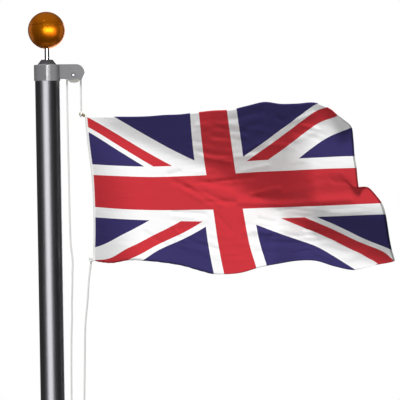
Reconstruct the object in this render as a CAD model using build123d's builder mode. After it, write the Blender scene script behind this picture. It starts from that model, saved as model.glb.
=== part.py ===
"""A garden flagpole: sectional tube on a bolted shoe base, pulley truck, ball finial, cleat, halyard and flag."""

import math
import os

from build123d import *

# Every length is in millimetres, +Z is up and the origin lies under the middle of the base.

# base shoe
plate_side = 150.0
plate_thick = 10.0
plate_corner_r = 16.0
bolt_spacing = 112.0
bolt_hole_r = 6.5
socket_r = 31.5
socket_top = 150.0
gusset_thick = 8.0
gusset_reach = 66.0
gusset_top = 96.0
shoe_edge_r = 1.5
root_reach = 7.0
root_rise = 9.0

# pole tube
pole_r = 25.4
pole_wall = 1.6
fit_gap = 0.1
spigot_length = 75.0
swage_length = 14.0
section_length = 994.0

# truck at the head of the pole
collar_r = 27.2
collar_drop = 25.0
crown_thick = 8.0
cone_low_r = 20.5
cone_top_r = 12.0
cone_height = 10.6
collar_edge_r = 1.2
arm_tip_x = 78.4
arm_end_r = 18.0
arm_rise = 1.0
arm_low = 30.0
arm_heel_x = 73.0
arm_heel_rise = 1.2
arm_half_width = 9.0
slot_half_width = 5.5
slot_r = 17.4
pin_x = 54.8
pin_drop = 21.0
pin_r = 2.3
pin_inset = 0.5
recess_r = 4.2
recess_depth = 1.2
root_groove = 1.5
root_groove_depth = 1.8

# sheave
sheave_rim_r = 16.2
sheave_half_width = 4.5
sheave_run_gap = 0.05
groove_half_width = 3.2
pitch_r = 14.2

# halyard
rope_r = 1.8
rope_gap = 0.2

# finial
stem_r = 4.8
stem_foot_depth = 16.0
ball_r = 38.1
ball_wall = 1.5
ball_rise = 71.2
seam_rise = 9.6
boss_r = 8.5
boss_length = 16.0

# cleat
cleat_share = 0.147
cleat_pad_thick = 5.0
cleat_pad_height = 66.0
cleat_pad_width = 20.0
cleat_neck_height = 30.0
cleat_neck_width = 12.0
cleat_stand_off = 26.0
horn_half_length = 74.0
horn_mid_r = 6.5
horn_tip_r = 4.0
horn_mid_share = 0.36

# flag and its roped edge
flag_fly = 660.0
flag_hoist = 330.0
flag_thick = 2.0
hoist_x = 79.2
hoist_drop = 106.6
flag_lean = 215.0
valley_depth = 100.0
lip_depth = 66.0
ripple_depth = 8.0
sight_x = 313.2
sight_reach = 2400.0
sight_drop = 128.6
heading_r = 2.9
toggle_length = 12.4
toggle_r = 3.2
toggle_waist_r = 2.4
toggle_drop = 103.0
toggle_slope = 22.0
eye_r = 4.6
knot_x = 85.5
knot_drop = 404.0
knot_r = 3.6

# heights that follow from the sizes above
lower_top = plate_thick + section_length
middle_top = lower_top + section_length
pole_top = middle_top + section_length
shoulder_z = pole_top + crown_thick
pin_z = shoulder_z - pin_drop
ball_z = shoulder_z + ball_rise
cleat_z = lower_top + section_length * cleat_share

os.makedirs("parts", exist_ok=True)

# cast shoe with a blind socket, four gussets and four bolt holes
with BuildPart() as base_shoe:
    with BuildSketch(Plane.XY):
        RectangleRounded(plate_side, plate_side, plate_corner_r)
    extrude(amount=plate_thick)
    fillet(base_shoe.edges().group_by(Axis.Z)[-1], radius=shoe_edge_r)
    with BuildSketch(Plane.XZ):
        with BuildLine():
            Polyline(
                (0, 0),
                (socket_r + root_reach, 0),
                (socket_r + root_reach, plate_thick),
                (socket_r, plate_thick + root_rise),
                (socket_r, socket_top),
                (0, socket_top),
                close=True,
            )
        make_face()
    revolve(axis=Axis.Z)
    with BuildSketch(Plane.XZ) as gusset_sketch:
        with BuildLine():
            Polyline(
                (0, plate_thick),
                (gusset_reach, plate_thick),
                (gusset_reach, plate_thick + gusset_thick),
                (socket_r, gusset_top),
                (0, gusset_top),
                close=True,
            )
        make_face()
    with PolarLocations(0, 4):
        add(extrude(gusset_sketch.sketch, amount=gusset_thick / 2, both=True, mode=Mode.PRIVATE))
    with BuildSketch(Plane.XY.offset(plate_thick)):
        Circle(pole_r + fit_gap)
    extrude(amount=socket_top, mode=Mode.SUBTRACT)
    with GridLocations(bolt_spacing, bolt_spacing, 2, 2):
        Cylinder(bolt_hole_r, plate_thick * 4, mode=Mode.SUBTRACT)
    fillet(base_shoe.edges().filter_by(GeomType.CIRCLE).group_by(Axis.Z)[-1], radius=shoe_edge_r / 2)
base_shoe.part.label = "base_shoe"
export_step(base_shoe.part, "parts/base_shoe.step")

# plain lowest tube, standing on the floor of the socket
with BuildPart() as lower_section:
    with BuildSketch(Plane.XY.offset(plate_thick)):
        Circle(pole_r)
        Circle(pole_r - pole_wall, mode=Mode.SUBTRACT)
    extrude(amount=section_length)
lower_section.part.label = "lower_section"
export_step(lower_section.part, "parts/lower_section.step")


def swaged_tube(foot, head):
    """Return a tube whose lower end is drawn in to a spigot.

    Args:
        foot: height of the shoulder that stands on the tube below.
        head: height of the upper end.

    Returns:
        The tube as a part.
    """
    bore = pole_r - pole_wall
    spigot_r = bore - fit_gap
    with BuildPart() as tube:
        with BuildSketch(Plane.XZ):
            with BuildLine():
                Polyline(
                    (spigot_r - pole_wall, foot - spigot_length),
                    (spigot_r, foot - spigot_length),
                    (spigot_r, foot),
                    (pole_r, foot),
                    (pole_r, head),
                    (bore, head),
                    (bore, foot + swage_length),
                    (spigot_r - pole_wall, foot + pole_wall),
                    close=True,
                )
            make_face()
        revolve(axis=Axis.Z)
    return tube.part


with BuildPart() as middle_section:
    add(swaged_tube(lower_top, middle_top))
middle_section.part.label = "middle_section"
export_step(middle_section.part, "parts/middle_section.step")

with BuildPart() as upper_section:
    add(swaged_tube(middle_top, pole_top))
upper_section.part.label = "upper_section"
export_step(upper_section.part, "parts/upper_section.step")

# truck: collar over the tube, cone boss for the finial and a slotted arm for the sheave
with BuildPart() as truck:
    with BuildSketch(Plane.XY.offset(pole_top - collar_drop)):
        Circle(collar_r)
    extrude(amount=collar_drop + crown_thick)
    fillet(truck.edges().group_by(Axis.Z)[-1], radius=collar_edge_r)
    with BuildSketch(Plane.XZ):
        with BuildLine():
            Polyline(
                (0, shoulder_z - crown_thick / 2),
                (cone_low_r, shoulder_z - crown_thick / 2),
                (cone_low_r, shoulder_z),
                (cone_top_r, shoulder_z + cone_height),
                (0, shoulder_z + cone_height),
                close=True,
            )
        make_face()
    revolve(axis=Axis.Z)
    with BuildSketch(Plane.XZ):
        with BuildLine():
            arm_top = shoulder_z + arm_rise
            arm_foot = shoulder_z - arm_low
            Line((0, arm_top), (arm_tip_x - arm_end_r, arm_top))
            TangentArc(
                (arm_tip_x - arm_end_r, arm_top),
                (arm_tip_x, arm_top - arm_end_r),
                tangent=(pole_r, 0),
            )
            Polyline(
                (arm_tip_x, arm_top - arm_end_r),
                (arm_heel_x, arm_foot + arm_heel_rise),
                (arm_heel_x - arm_heel_rise, arm_foot),
                (0, arm_foot),
                (0, arm_top),
            )
        make_face()
    extrude(amount=arm_half_width, both=True)
    with BuildSketch(Plane.XY.offset(arm_foot)):
        Circle(collar_r + root_groove)
        Circle(collar_r, mode=Mode.SUBTRACT)
        Rectangle(arm_tip_x * 2, (arm_half_width - root_groove_depth) * 2, mode=Mode.SUBTRACT)
    extrude(amount=arm_low + arm_rise, mode=Mode.SUBTRACT)
    with BuildSketch(Plane.XZ):
        with Locations((pin_x, pin_z)):
            Circle(slot_r)
        with Locations((pin_x, pin_z - slot_r)):
            Rectangle(slot_r * 2, slot_r * 2)
    extrude(amount=slot_half_width, both=True, mode=Mode.SUBTRACT)
    with BuildSketch(Plane.XZ):
        with Locations((pin_x, pin_z)):
            Circle(pin_r)
    extrude(amount=arm_half_width, both=True, mode=Mode.SUBTRACT)
    for side in (1, -1):
        with BuildSketch(Plane.XZ.offset(side * arm_half_width)):
            with Locations((pin_x, pin_z)):
                Circle(recess_r)
        extrude(amount=-side * recess_depth, mode=Mode.SUBTRACT)
    with BuildSketch(Plane.XY.offset(pole_top - collar_drop)):
        Circle(pole_r + fit_gap)
    extrude(amount=collar_drop, mode=Mode.SUBTRACT)
    with BuildSketch(Plane.XY.offset(shoulder_z + cone_height)):
        Circle(stem_r)
    extrude(amount=-stem_foot_depth, mode=Mode.SUBTRACT)
truck.part.label = "truck"
export_step(truck.part, "parts/truck.step")

# grooved sheave, free on its pin
with BuildPart() as sheave:
    with BuildSketch(Plane.XY.offset(pin_z)):
        with BuildLine():
            Polyline(
                (pin_x + sheave_rim_r, groove_half_width),
                (pin_x + sheave_rim_r, sheave_half_width),
                (pin_x + pin_r + sheave_run_gap, sheave_half_width),
                (pin_x + pin_r + sheave_run_gap, -sheave_half_width),
                (pin_x + sheave_rim_r, -sheave_half_width),
                (pin_x + sheave_rim_r, -groove_half_width),
            )
            ThreePointArc(
                (pin_x + sheave_rim_r, -groove_half_width),
                (pin_x + pitch_r - rope_r - rope_gap, 0),
                (pin_x + sheave_rim_r, groove_half_width),
            )
        make_face()
    revolve(axis=Axis((pin_x, 0, pin_z), (0, 1, 0)))
sheave.part.label = "sheave"
export_step(sheave.part, "parts/sheave.step")

with BuildPart() as sheave_pin:
    with BuildSketch(Plane.XZ):
        with Locations((pin_x, pin_z)):
            Circle(pin_r)
    extrude(amount=arm_half_width - pin_inset, both=True)
sheave_pin.part.label = "sheave_pin"
export_step(sheave_pin.part, "parts/sheave_pin.step")

# finial: stem into the cone, ball spun in two halves
stem_foot = shoulder_z + cone_height - stem_foot_depth
boss_top = ball_z - ball_r + boss_length
with BuildPart() as finial_stem:
    with BuildSketch(Plane.XY.offset(stem_foot)):
        Circle(stem_r)
    extrude(amount=boss_top - stem_foot)
finial_stem.part.label = "finial_stem"
export_step(finial_stem.part, "parts/finial_stem.step")

inner_r = ball_r - ball_wall
seam_z = ball_z + seam_rise
seam_outer = math.sqrt(ball_r**2 - seam_rise**2)
seam_inner = math.sqrt(inner_r**2 - seam_rise**2)
with BuildPart() as ball_lower:
    with BuildSketch(Plane.XZ):
        with BuildLine():
            mouth_z = ball_z - math.sqrt(ball_r**2 - stem_r**2)
            floor_z = ball_z - math.sqrt(inner_r**2 - boss_r**2)
            ThreePointArc((stem_r, mouth_z), (ball_r, ball_z), (seam_outer, seam_z))
            Line((seam_outer, seam_z), (seam_inner, seam_z))
            ThreePointArc((seam_inner, seam_z), (inner_r, ball_z), (boss_r, floor_z))
            Polyline((boss_r, floor_z), (boss_r, boss_top), (stem_r, boss_top), (stem_r, mouth_z))
        make_face()
    revolve(axis=Axis.Z)
ball_lower.part.label = "ball_lower"
export_step(ball_lower.part, "parts/ball_lower.step")

with BuildPart() as ball_upper:
    with BuildSketch(Plane.XZ):
        with BuildLine():
            half_turn = math.radians(45)
            Line((seam_inner, seam_z), (seam_outer, seam_z))
            ThreePointArc(
                (seam_outer, seam_z),
                (ball_r * math.cos(half_turn), ball_z + ball_r * math.sin(half_turn)),
                (0, ball_z + ball_r),
            )
            Line((0, ball_z + ball_r), (0, ball_z + inner_r))
            ThreePointArc(
                (0, ball_z + inner_r),
                (inner_r * math.cos(half_turn), ball_z + inner_r * math.sin(half_turn)),
                (seam_inner, seam_z),
            )
        make_face()
    revolve(axis=Axis.Z)
ball_upper.part.label = "ball_upper"
export_step(ball_upper.part, "parts/ball_upper.step")

# horn cleat on the arm's side of the pole
horn_x = pole_r + cleat_stand_off
with BuildPart() as cleat:
    with BuildSketch(Plane.YZ):
        with Locations((0, cleat_z)):
            SlotOverall(cleat_pad_height, cleat_pad_width, rotation=90)
    extrude(amount=pole_r + cleat_pad_thick)
    with BuildSketch(Plane.YZ):
        with Locations((0, cleat_z)):
            SlotOverall(cleat_neck_height, cleat_neck_width, rotation=90)
    extrude(amount=horn_x)
    with BuildSketch(Plane.XZ):
        with BuildLine():
            horn_low = cleat_z - horn_half_length
            horn_high = cleat_z + horn_half_length
            Line((horn_x, horn_high), (horn_x, horn_low))
            TangentArc(
                (horn_x, horn_low),
                (horn_x + horn_tip_r, horn_low + horn_tip_r),
                tangent=(horn_tip_r, 0),
            )
            Polyline(
                (horn_x + horn_tip_r, horn_low + horn_tip_r),
                (horn_x + horn_mid_r, cleat_z - cleat_neck_height * horn_mid_share),
                (horn_x + horn_mid_r, cleat_z + cleat_neck_height * horn_mid_share),
                (horn_x + horn_tip_r, horn_high - horn_tip_r),
            )
            TangentArc(
                (horn_x, horn_high),
                (horn_x + horn_tip_r, horn_high - horn_tip_r),
                tangent=(horn_tip_r, 0),
            )
        make_face()
    revolve(axis=Axis((horn_x, 0, 0), (0, 0, 1)))
    with BuildSketch(Plane.XY.offset(cleat_z - horn_half_length)):
        Circle(pole_r)
    extrude(amount=horn_half_length * 2, mode=Mode.SUBTRACT)
cleat.part.label = "cleat"
export_step(cleat.part, "parts/cleat.step")


def rope_along(path):
    """Return a rope of round section along a path.

    Args:
        path: the line to follow, as a BuildLine.

    Returns:
        The rope as a part.
    """
    with BuildPart() as rope:
        with BuildSketch(Plane(path.line @ 0, z_dir=path.line % 0)):
            Circle(rope_r)
        sweep(path=path.line)
    return rope.part


# halyard: over the sheave, down to the cleat and made fast in a figure of eight
fall_x = pin_x - pitch_r
rise_x = pin_x + pitch_r
inner_x = pole_r + cleat_stand_off * 0.32
outer_x = pole_r + cleat_stand_off * 0.5
cross_x = horn_x + horn_mid_r + rope_r + rope_gap
side_y = cleat_neck_width / 2 + rope_r + rope_gap * 5
turn_z = cleat_neck_height / 2 + rope_r * 3
cross_z = cleat_neck_height * 0.28
bend_r = rope_r * 3
tail_y = side_y + rope_r * 2.3
with BuildLine() as fall_path:
    ThreePointArc((rise_x, 0, pin_z), (pin_x, 0, pin_z + pitch_r), (fall_x, 0, pin_z))
    FilletPolyline(
        (fall_x, 0, pin_z),
        (fall_x, 0, cleat_z + horn_half_length * 4),
        (inner_x, -side_y, cleat_z + turn_z * 2),
        (inner_x, -side_y, cleat_z - turn_z),
        (inner_x, side_y, cleat_z - turn_z),
        (cross_x, side_y, cleat_z - cross_z),
        (cross_x, -side_y, cleat_z + cross_z),
        (outer_x, -side_y, cleat_z + turn_z),
        (outer_x, side_y, cleat_z + turn_z),
        (cross_x + rope_r * 2.2, side_y, cleat_z + cross_z),
        (cross_x + rope_r * 2.2, -side_y, cleat_z - cross_z),
        (outer_x, -side_y, cleat_z - turn_z),
        (outer_x, tail_y, cleat_z - turn_z),
        (outer_x, tail_y, cleat_z + turn_z * 0.5),
        radius=bend_r,
    )
with BuildPart() as halyard_fall:
    add(rope_along(fall_path))
halyard_fall.part.label = "halyard_fall"
export_step(halyard_fall.part, "parts/halyard_fall.step")

toggle_x = rise_x + rope_r
toggle_z = shoulder_z - toggle_drop
slope = math.radians(toggle_slope)
along = Vector(math.cos(slope), 0, -math.sin(slope))
toggle_mid = Vector(toggle_x, 0, toggle_z)
eye_top = toggle_z + eye_r + rope_r

with BuildLine() as upper_path:
    Line((rise_x, 0, pin_z), (rise_x, 0, eye_top))
with BuildPart() as halyard_upper:
    add(rope_along(upper_path))
halyard_upper.part.label = "halyard_upper"
export_step(halyard_upper.part, "parts/halyard_upper.step")

knot_z = shoulder_z - knot_drop
with BuildLine() as lower_path:
    FilletPolyline(
        (outer_x, tail_y, cleat_z + turn_z * 0.5),
        (outer_x, tail_y, cleat_z + turn_z * 2),
        (rise_x, 0, knot_z - flag_hoist),
        (knot_x, 0, knot_z - rope_r * 2.7),
        radius=bend_r * 4,
    )
with BuildPart() as halyard_lower:
    add(rope_along(lower_path))
halyard_lower.part.label = "halyard_lower"
export_step(halyard_lower.part, "parts/halyard_lower.step")

# eye spliced in the halyard's upper end, round the toggle's waist
with BuildPart() as halyard_eye:
    with BuildSketch(Plane(toggle_mid + Vector(0, 0, eye_r), x_dir=along, z_dir=(0, 1, 0))):
        Circle(rope_r)
    revolve(axis=Axis(tuple(toggle_mid), tuple(along)))
halyard_eye.part.label = "halyard_eye"
export_step(halyard_eye.part, "parts/halyard_eye.step")

# wooden toggle with a waist
toggle_plane = Plane(toggle_mid, x_dir=along, z_dir=(0, 1, 0))
with BuildPart() as toggle:
    with BuildSketch(toggle_plane):
        with BuildLine():
            Polyline(
                (-toggle_length / 2, 0),
                (-toggle_length / 2, toggle_waist_r),
                (-toggle_length / 2 + toggle_r - toggle_waist_r, toggle_r),
                (-rope_r * 1.3, toggle_r),
                (-rope_r * 0.6, toggle_waist_r),
                (rope_r * 0.6, toggle_waist_r),
                (rope_r * 1.3, toggle_r),
                (toggle_length / 2 - toggle_r + toggle_waist_r, toggle_r),
                (toggle_length / 2, toggle_waist_r),
                (toggle_length / 2, 0),
                close=True,
            )
        make_face()
    revolve(axis=Axis(tuple(toggle_mid), tuple(along)))
toggle.part.label = "toggle"
export_step(toggle.part, "parts/toggle.step")

# places on the flag as shares of its fly and of its hoist, by rows from head to foot, seen from a point in front
flag_x_shares = (
    (0.000, 0.098, 0.196, 0.294, 0.398, 0.510, 0.612, 0.718, 0.788),
    (0.007, 0.103, 0.198, 0.298, 0.409, 0.524, 0.632, 0.736, 0.840),
    (0.018, 0.110, 0.206, 0.309, 0.423, 0.539, 0.653, 0.754, 0.850),
    (0.022, 0.118, 0.216, 0.329, 0.443, 0.563, 0.689, 0.814, 0.930),
    (0.022, 0.121, 0.226, 0.341, 0.461, 0.583, 0.704, 0.825, 0.954),
    (0.018, 0.128, 0.240, 0.357, 0.482, 0.605, 0.721, 0.837, 0.930),
)
flag_z_shares = (
    (0.000, 0.003, 0.002, -0.008, -0.030, -0.060, -0.068, -0.074, 0.004),
    (0.171, 0.188, 0.191, 0.184, 0.169, 0.147, 0.138, 0.133, 0.155),
    (0.368, 0.378, 0.385, 0.381, 0.372, 0.358, 0.350, 0.342, 0.336),
    (0.571, 0.587, 0.595, 0.595, 0.593, 0.586, 0.579, 0.571, 0.563),
    (0.760, 0.768, 0.782, 0.808, 0.818, 0.786, 0.775, 0.801, 0.782),
    (0.909, 0.908, 0.928, 0.977, 0.998, 0.941, 0.926, 0.986, 0.948),
)
# how far down the flag its long slanting valley lies, from hoist to fly
valley_shares = (0.0, 0.09, 0.15, 0.25, 0.34, 0.56, 0.74, 0.86, 0.97)
valley_round_share = 0.05
ripple_length_share = 0.43
ripple_start_share = 0.45
edge_share = 0.3
# the swelling near the fly: where it starts down from the head, its ridge, the ridge's slant,
# how much of it falls away below the ridge and over what share, and where it begins from the hoist
lip_head_share = 0.1
lip_ridge_share = 0.57
lip_ridge_u_share = 0.7
lip_slant_share = 0.4
lip_fall_share = 0.3
lip_drop_share = 0.22
lip_start_share = 0.78
lip_shift_share = 0.2
lip_reach_share = 0.16
flag_columns = 16
flag_rows = 10


def smooth_value(knots, share):
    """Read a smooth line through evenly spaced knots.

    Args:
        knots: the values at the knots.
        share: where to read them, from 0 to 1.

    Returns:
        The value there.
    """
    last = len(knots) - 1
    index = min(int(share * last), last - 1)
    part = share * last - index
    b, c = knots[index], knots[index + 1]
    a = knots[index - 1] if index > 0 else 2 * b - c
    d = knots[index + 2] if index + 2 <= last else 2 * c - b
    bend = (2 * a - 5 * b + 4 * c - d) * part**2 + (3 * b - a - 3 * c + d) * part**3
    return b + ((c - a) * part + bend) / 2


def held(share):
    """Keep a share between 0 and 1.

    Args:
        share: the share.

    Returns:
        The share, held at its ends.
    """
    return max(0, min(share, 1))


def eased(share):
    """Return a smooth step.

    Args:
        share: from 0 to 1, and held at its ends beyond.

    Returns:
        The eased share.
    """
    part = held(share)
    return part * part * (3 - 2 * part)


def flag_depth(u, v):
    """Return how far a place on the flag stands off the plane of the hoist.

    Args:
        u: share of the fly from the hoist edge.
        v: share of the hoist from the head.

    Returns:
        The distance along +Y.
    """
    off = v - smooth_value(valley_shares, u)
    valley = math.sqrt(off**2 + valley_round_share**2) - valley_round_share
    ripple = v * math.cos(2 * math.pi * (u - ripple_start_share) / ripple_length_share)
    waves = eased(u / edge_share) * (valley_depth * valley + ripple_depth * ripple)
    ridge = lip_ridge_share + lip_slant_share * (u - lip_ridge_u_share)
    rise = held((v - lip_head_share) / (ridge - lip_head_share))
    fall = lip_fall_share * held((v - ridge) / lip_drop_share)
    start = lip_start_share - lip_shift_share * v
    return -flag_lean * u - waves - lip_depth * eased((u - start) / lip_reach_share) * (rise - fall)


def flag_place(u, v):
    """Return a place on the flag.

    Args:
        u: share of the fly from the hoist edge.
        v: share of the hoist from the head.

    Returns:
        The place, brought forward along the line that it is seen by.
    """
    across = smooth_value([smooth_value(row, u) for row in flag_x_shares], v)
    down = smooth_value([smooth_value(row, u) for row in flag_z_shares], v)
    sight = Vector(sight_x, -sight_reach, shoulder_z - sight_drop)
    flat = Vector(hoist_x + flag_fly * across, 0, hoist_z - flag_hoist * down)
    return sight + (flat - sight) * (1 + flag_depth(u, v) / sight_reach)


hoist_z = shoulder_z - hoist_drop
flag_points = []
for row in range(flag_rows + 1):
    flag_points.append([flag_place(column / flag_columns, row / flag_rows) for column in range(flag_columns + 1)])

with BuildPart() as flag_cloth:
    flag_face = Face.make_surface_from_array_of_points(flag_points)
    thicken(flag_face, amount=flag_thick / 2, both=True)
flag_cloth.part.label = "flag_cloth"
export_step(flag_cloth.part, "parts/flag_cloth.step")

# roped heading sewn along the hoist
heading_points = [(p[0].X, 0, p[0].Z) for p in flag_points[::2]]
with BuildLine() as heading_path:
    FilletPolyline(*heading_points, radius=flag_hoist / 2)
with BuildPart() as flag_heading:
    with BuildSketch(Plane(heading_path.line @ 0, z_dir=heading_path.line % 0)):
        Circle(heading_r)
    sweep(path=heading_path.line)
flag_heading.part.label = "flag_heading"
export_step(flag_heading.part, "parts/flag_heading.step")

# short rope from the heading's head to the toggle, and from its foot to the knot
toggle_end = toggle_mid + along * (toggle_length / 2)
with BuildLine() as head_path:
    Line(tuple(toggle_end), heading_points[0])
with BuildPart() as head_rope:
    add(rope_along(head_path))
head_rope.part.label = "head_rope"
export_step(head_rope.part, "parts/head_rope.step")

foot_point = heading_points[-1]
with BuildLine() as tail_path:
    Line(foot_point, (knot_x, 0, knot_z))
with BuildPart() as tail_bend:
    add(rope_along(tail_path))
    for level in (-1, 0, 1):
        with Locations((knot_x, 0, knot_z + level * rope_r * 1.7)):
            Torus(knot_r, rope_r)
tail_bend.part.label = "tail_bend"
export_step(tail_bend.part, "parts/tail_bend.step")
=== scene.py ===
"""Looks of a garden flagpole: satin tube, gold ball, pulley truck, braided halyard and a flying flag."""

import logging
import math
from dataclasses import dataclass
from enum import Enum

import bmesh
import bpy
import numpy as np
from mathutils import Matrix, Vector


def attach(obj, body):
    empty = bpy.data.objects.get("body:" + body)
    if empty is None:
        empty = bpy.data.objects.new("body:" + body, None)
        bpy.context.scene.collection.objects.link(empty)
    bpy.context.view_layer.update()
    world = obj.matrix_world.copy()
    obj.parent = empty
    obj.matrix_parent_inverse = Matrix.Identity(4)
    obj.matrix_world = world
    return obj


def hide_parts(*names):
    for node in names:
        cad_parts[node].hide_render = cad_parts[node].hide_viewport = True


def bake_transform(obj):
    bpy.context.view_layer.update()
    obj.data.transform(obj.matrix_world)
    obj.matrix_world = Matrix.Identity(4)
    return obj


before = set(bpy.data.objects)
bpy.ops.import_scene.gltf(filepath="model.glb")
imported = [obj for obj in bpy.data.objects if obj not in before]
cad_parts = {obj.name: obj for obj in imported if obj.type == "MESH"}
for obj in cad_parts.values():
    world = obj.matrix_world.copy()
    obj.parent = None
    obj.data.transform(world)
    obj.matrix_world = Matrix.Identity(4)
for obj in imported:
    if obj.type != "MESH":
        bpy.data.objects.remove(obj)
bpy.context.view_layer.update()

LOG = logging.getLogger("flagpole")

Triple = tuple[float, float, float]
Pair = tuple[float, float]
Socket = bpy.types.NodeSocket

SHEAVE_PIN: Triple = (0.0548, 0.0, 2.979)
COLLAR_TOP = 3.0012
CLEAT_Z = 1.15


class Body(Enum):
    """The rigid bodies that pieces ride on."""

    POLE = "pole"
    FLAG = "flag"


class Panel(Enum):
    """The coloured cloths that the flag is sewn from."""

    RED = 0
    WHITE = 1
    BLUE = 2


class Drape(Enum):
    """The parts of the studio's curtain, from the darkest to the palest."""

    FRONT = 0
    REAR = 1
    CEILING = 2


class Reach(Enum):
    """What a lamp's light does: all, reflections alone, or matt light alone."""

    ALL = "all"
    GLOSS = "gloss"
    MATT = "matt"


def tone(red: int, green: int, blue: int) -> Triple:
    """Turn a colour on the usual 0 to 255 scale into linear light.

    Args:
        red: red share.
        green: green share.
        blue: blue share.

    Returns:
        The three linear values.
    """
    shares = [c / 255 for c in (red, green, blue)]
    linear = [c / 12.92 if c <= 0.04045 else ((c + 0.055) / 1.055) ** 2.4 for c in shares]
    return linear[0], linear[1], linear[2]


@dataclass(frozen=True)
class Nodes:
    """A node tree, with the kinds of node that the finishes and the studio's world are drawn up from."""

    tree: bpy.types.NodeTree

    def add(self, kind: str) -> bpy.types.Node:
        """Return a new node of a kind."""
        return self.tree.nodes.new("ShaderNode" + kind)

    def surface(self, name: str) -> Socket:
        """Return one of the surface shader's inputs."""
        return self.tree.nodes["Principled BSDF"].inputs[name]

    def feed(self, slot: Socket, value: Socket | float | tuple[float, ...]) -> None:
        """Link an input to a socket, or set it to a plain value.

        Args:
            slot: the input.
            value: the socket, the number or the vector that it takes.
        """
        if isinstance(value, Socket):
            self.tree.links.new(value, slot)
        else:
            slot.default_value = value

    def coordinates(self, output: str, scale: Triple = (1.0, 1.0, 1.0)) -> Socket:
        """Return a scaled texture coordinate.

        Args:
            output: which coordinate, Object or UV.
            scale: repeats per metre along each axis.

        Returns:
            The vector's socket.
        """
        mapping = self.add("Mapping")
        self.feed(mapping.inputs["Scale"], scale)
        self.feed(mapping.inputs["Vector"], self.add("TexCoord").outputs[output])
        return mapping.outputs["Vector"]

    def noise(self, vector: Socket, layers: float) -> Socket:
        """Return fine noise.

        Args:
            vector: where to read it.
            layers: how many finer layers it holds.

        Returns:
            The noise's socket.
        """
        made = self.add("TexNoise")
        self.feed(made.inputs["Scale"], 1.0)
        self.feed(made.inputs["Detail"], layers)
        self.feed(made.inputs["Vector"], vector)
        return made.outputs["Fac"]

    def parts(self, vector: Socket) -> dict[str, Socket]:
        """Split a vector.

        Args:
            vector: the vector's socket.

        Returns:
            Its X, Y and Z, each as a socket.
        """
        split = self.add("SeparateXYZ")
        self.feed(split.inputs["Vector"], vector)
        return {axis: split.outputs[axis] for axis in "XYZ"}

    def worked(self, operation: str, *values: Socket | float) -> Socket:
        """Work out a value from others.

        Args:
            operation: the sum or the test to make.
            values: what it takes, in order.

        Returns:
            The result's socket.
        """
        made = self.add("Math")
        made.operation = operation
        for slot, value in zip(made.inputs, values):
            self.feed(slot, value)
        return made.outputs["Value"]

    def measured(self, operation: str, vector: Socket, other: Triple) -> Socket:
        """Measure a vector against a fixed one.

        Args:
            operation: the measure to take.
            vector: the vector's socket.
            other: the fixed vector.

        Returns:
            The measure's socket.
        """
        made = self.add("VectorMath")
        made.operation = operation
        self.feed(made.inputs[0], vector)
        self.feed(made.inputs[1], other)
        return made.outputs["Value"]

    def mixed(self, share: Socket, first: Socket | Triple, second: Triple) -> Socket:
        """Mix two colours.

        Args:
            share: how much of the second one shows.
            first: the first colour.
            second: the second colour.

        Returns:
            The mixed colour's socket.
        """
        made = self.add("Mix")
        made.data_type = "RGBA"
        self.feed(made.inputs["Factor"], share)
        for name, colour in (("A", first), ("B", second)):
            self.feed(made.inputs[name], colour if isinstance(colour, Socket) else (*colour, 1.0))
        return made.outputs["Result"]

    def spread(self, value: Socket, low: float, high: float) -> Socket:
        """Map a 0 to 1 value between two ends.

        Args:
            value: the value's socket.
            low: result at 0.
            high: result at 1.

        Returns:
            The mapped value's socket.
        """
        made = self.add("MapRange")
        self.feed(made.inputs["To Min"], low)
        self.feed(made.inputs["To Max"], high)
        self.feed(made.inputs["Value"], value)
        return made.outputs["Result"]

    def relief(self, height: Socket, strength: float, depth: float) -> None:
        """Raise the surface a little by a height, over any relief that it has.

        Args:
            height: the height's socket.
            strength: how much of the relief shows.
            depth: its depth in metres.
        """
        bump = self.add("Bump")
        self.feed(bump.inputs["Strength"], strength)
        self.feed(bump.inputs["Distance"], depth)
        self.feed(bump.inputs["Height"], height)
        normal = self.surface("Normal")
        if normal.is_linked:
            self.feed(bump.inputs["Normal"], normal.links[0].from_socket)
        self.feed(normal, bump.outputs["Normal"])


@dataclass(frozen=True)
class Finish:
    """A plain surface finish; other finishes add a pattern to it."""

    name: str
    colour: Triple
    roughness: float
    metallic: float = 0.0
    coat: float = 0.0
    sheen: float = 0.0
    shine: float = 0.5
    glow: float = 0.0

    def material(self) -> bpy.types.Material:
        """Return the finish as a material, made on first use."""
        found = bpy.data.materials.get(self.name)
        if found is not None:
            return found
        made = bpy.data.materials.new(self.name)
        made.use_nodes = True
        nodes = Nodes(made.node_tree)
        for name, value in (
            ("Base Color", (*self.colour, 1.0)),
            ("Roughness", self.roughness),
            ("Metallic", self.metallic),
            ("Coat Weight", self.coat),
            ("Sheen Weight", self.sheen),
            ("Specular IOR Level", self.shine),
            ("Emission Color", (1.0, 1.0, 1.0, 1.0)),
            ("Emission Strength", self.glow),
        ):
            nodes.feed(nodes.surface(name), value)
        self.pattern(nodes)
        return made

    def pattern(self, nodes: Nodes) -> None:
        """Add nothing: a plain finish has no pattern."""


@dataclass(frozen=True)
class DrawnMetal(Finish):
    """Metal with a fine grain drawn along the pole."""

    streaks: Triple = (700.0, 700.0, 9.0)
    layers: float = 3.0
    brighter: float = 0.05
    duller: float = 0.07

    def pattern(self, nodes: Nodes) -> None:
        """Vary the gloss in fine lengthwise streaks.

        Args:
            nodes: the material's nodes.
        """
        grain = nodes.noise(nodes.coordinates("Object", self.streaks), self.layers)
        gloss = nodes.spread(grain, self.roughness - self.brighter, self.roughness + self.duller)
        nodes.feed(nodes.surface("Roughness"), gloss)


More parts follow.
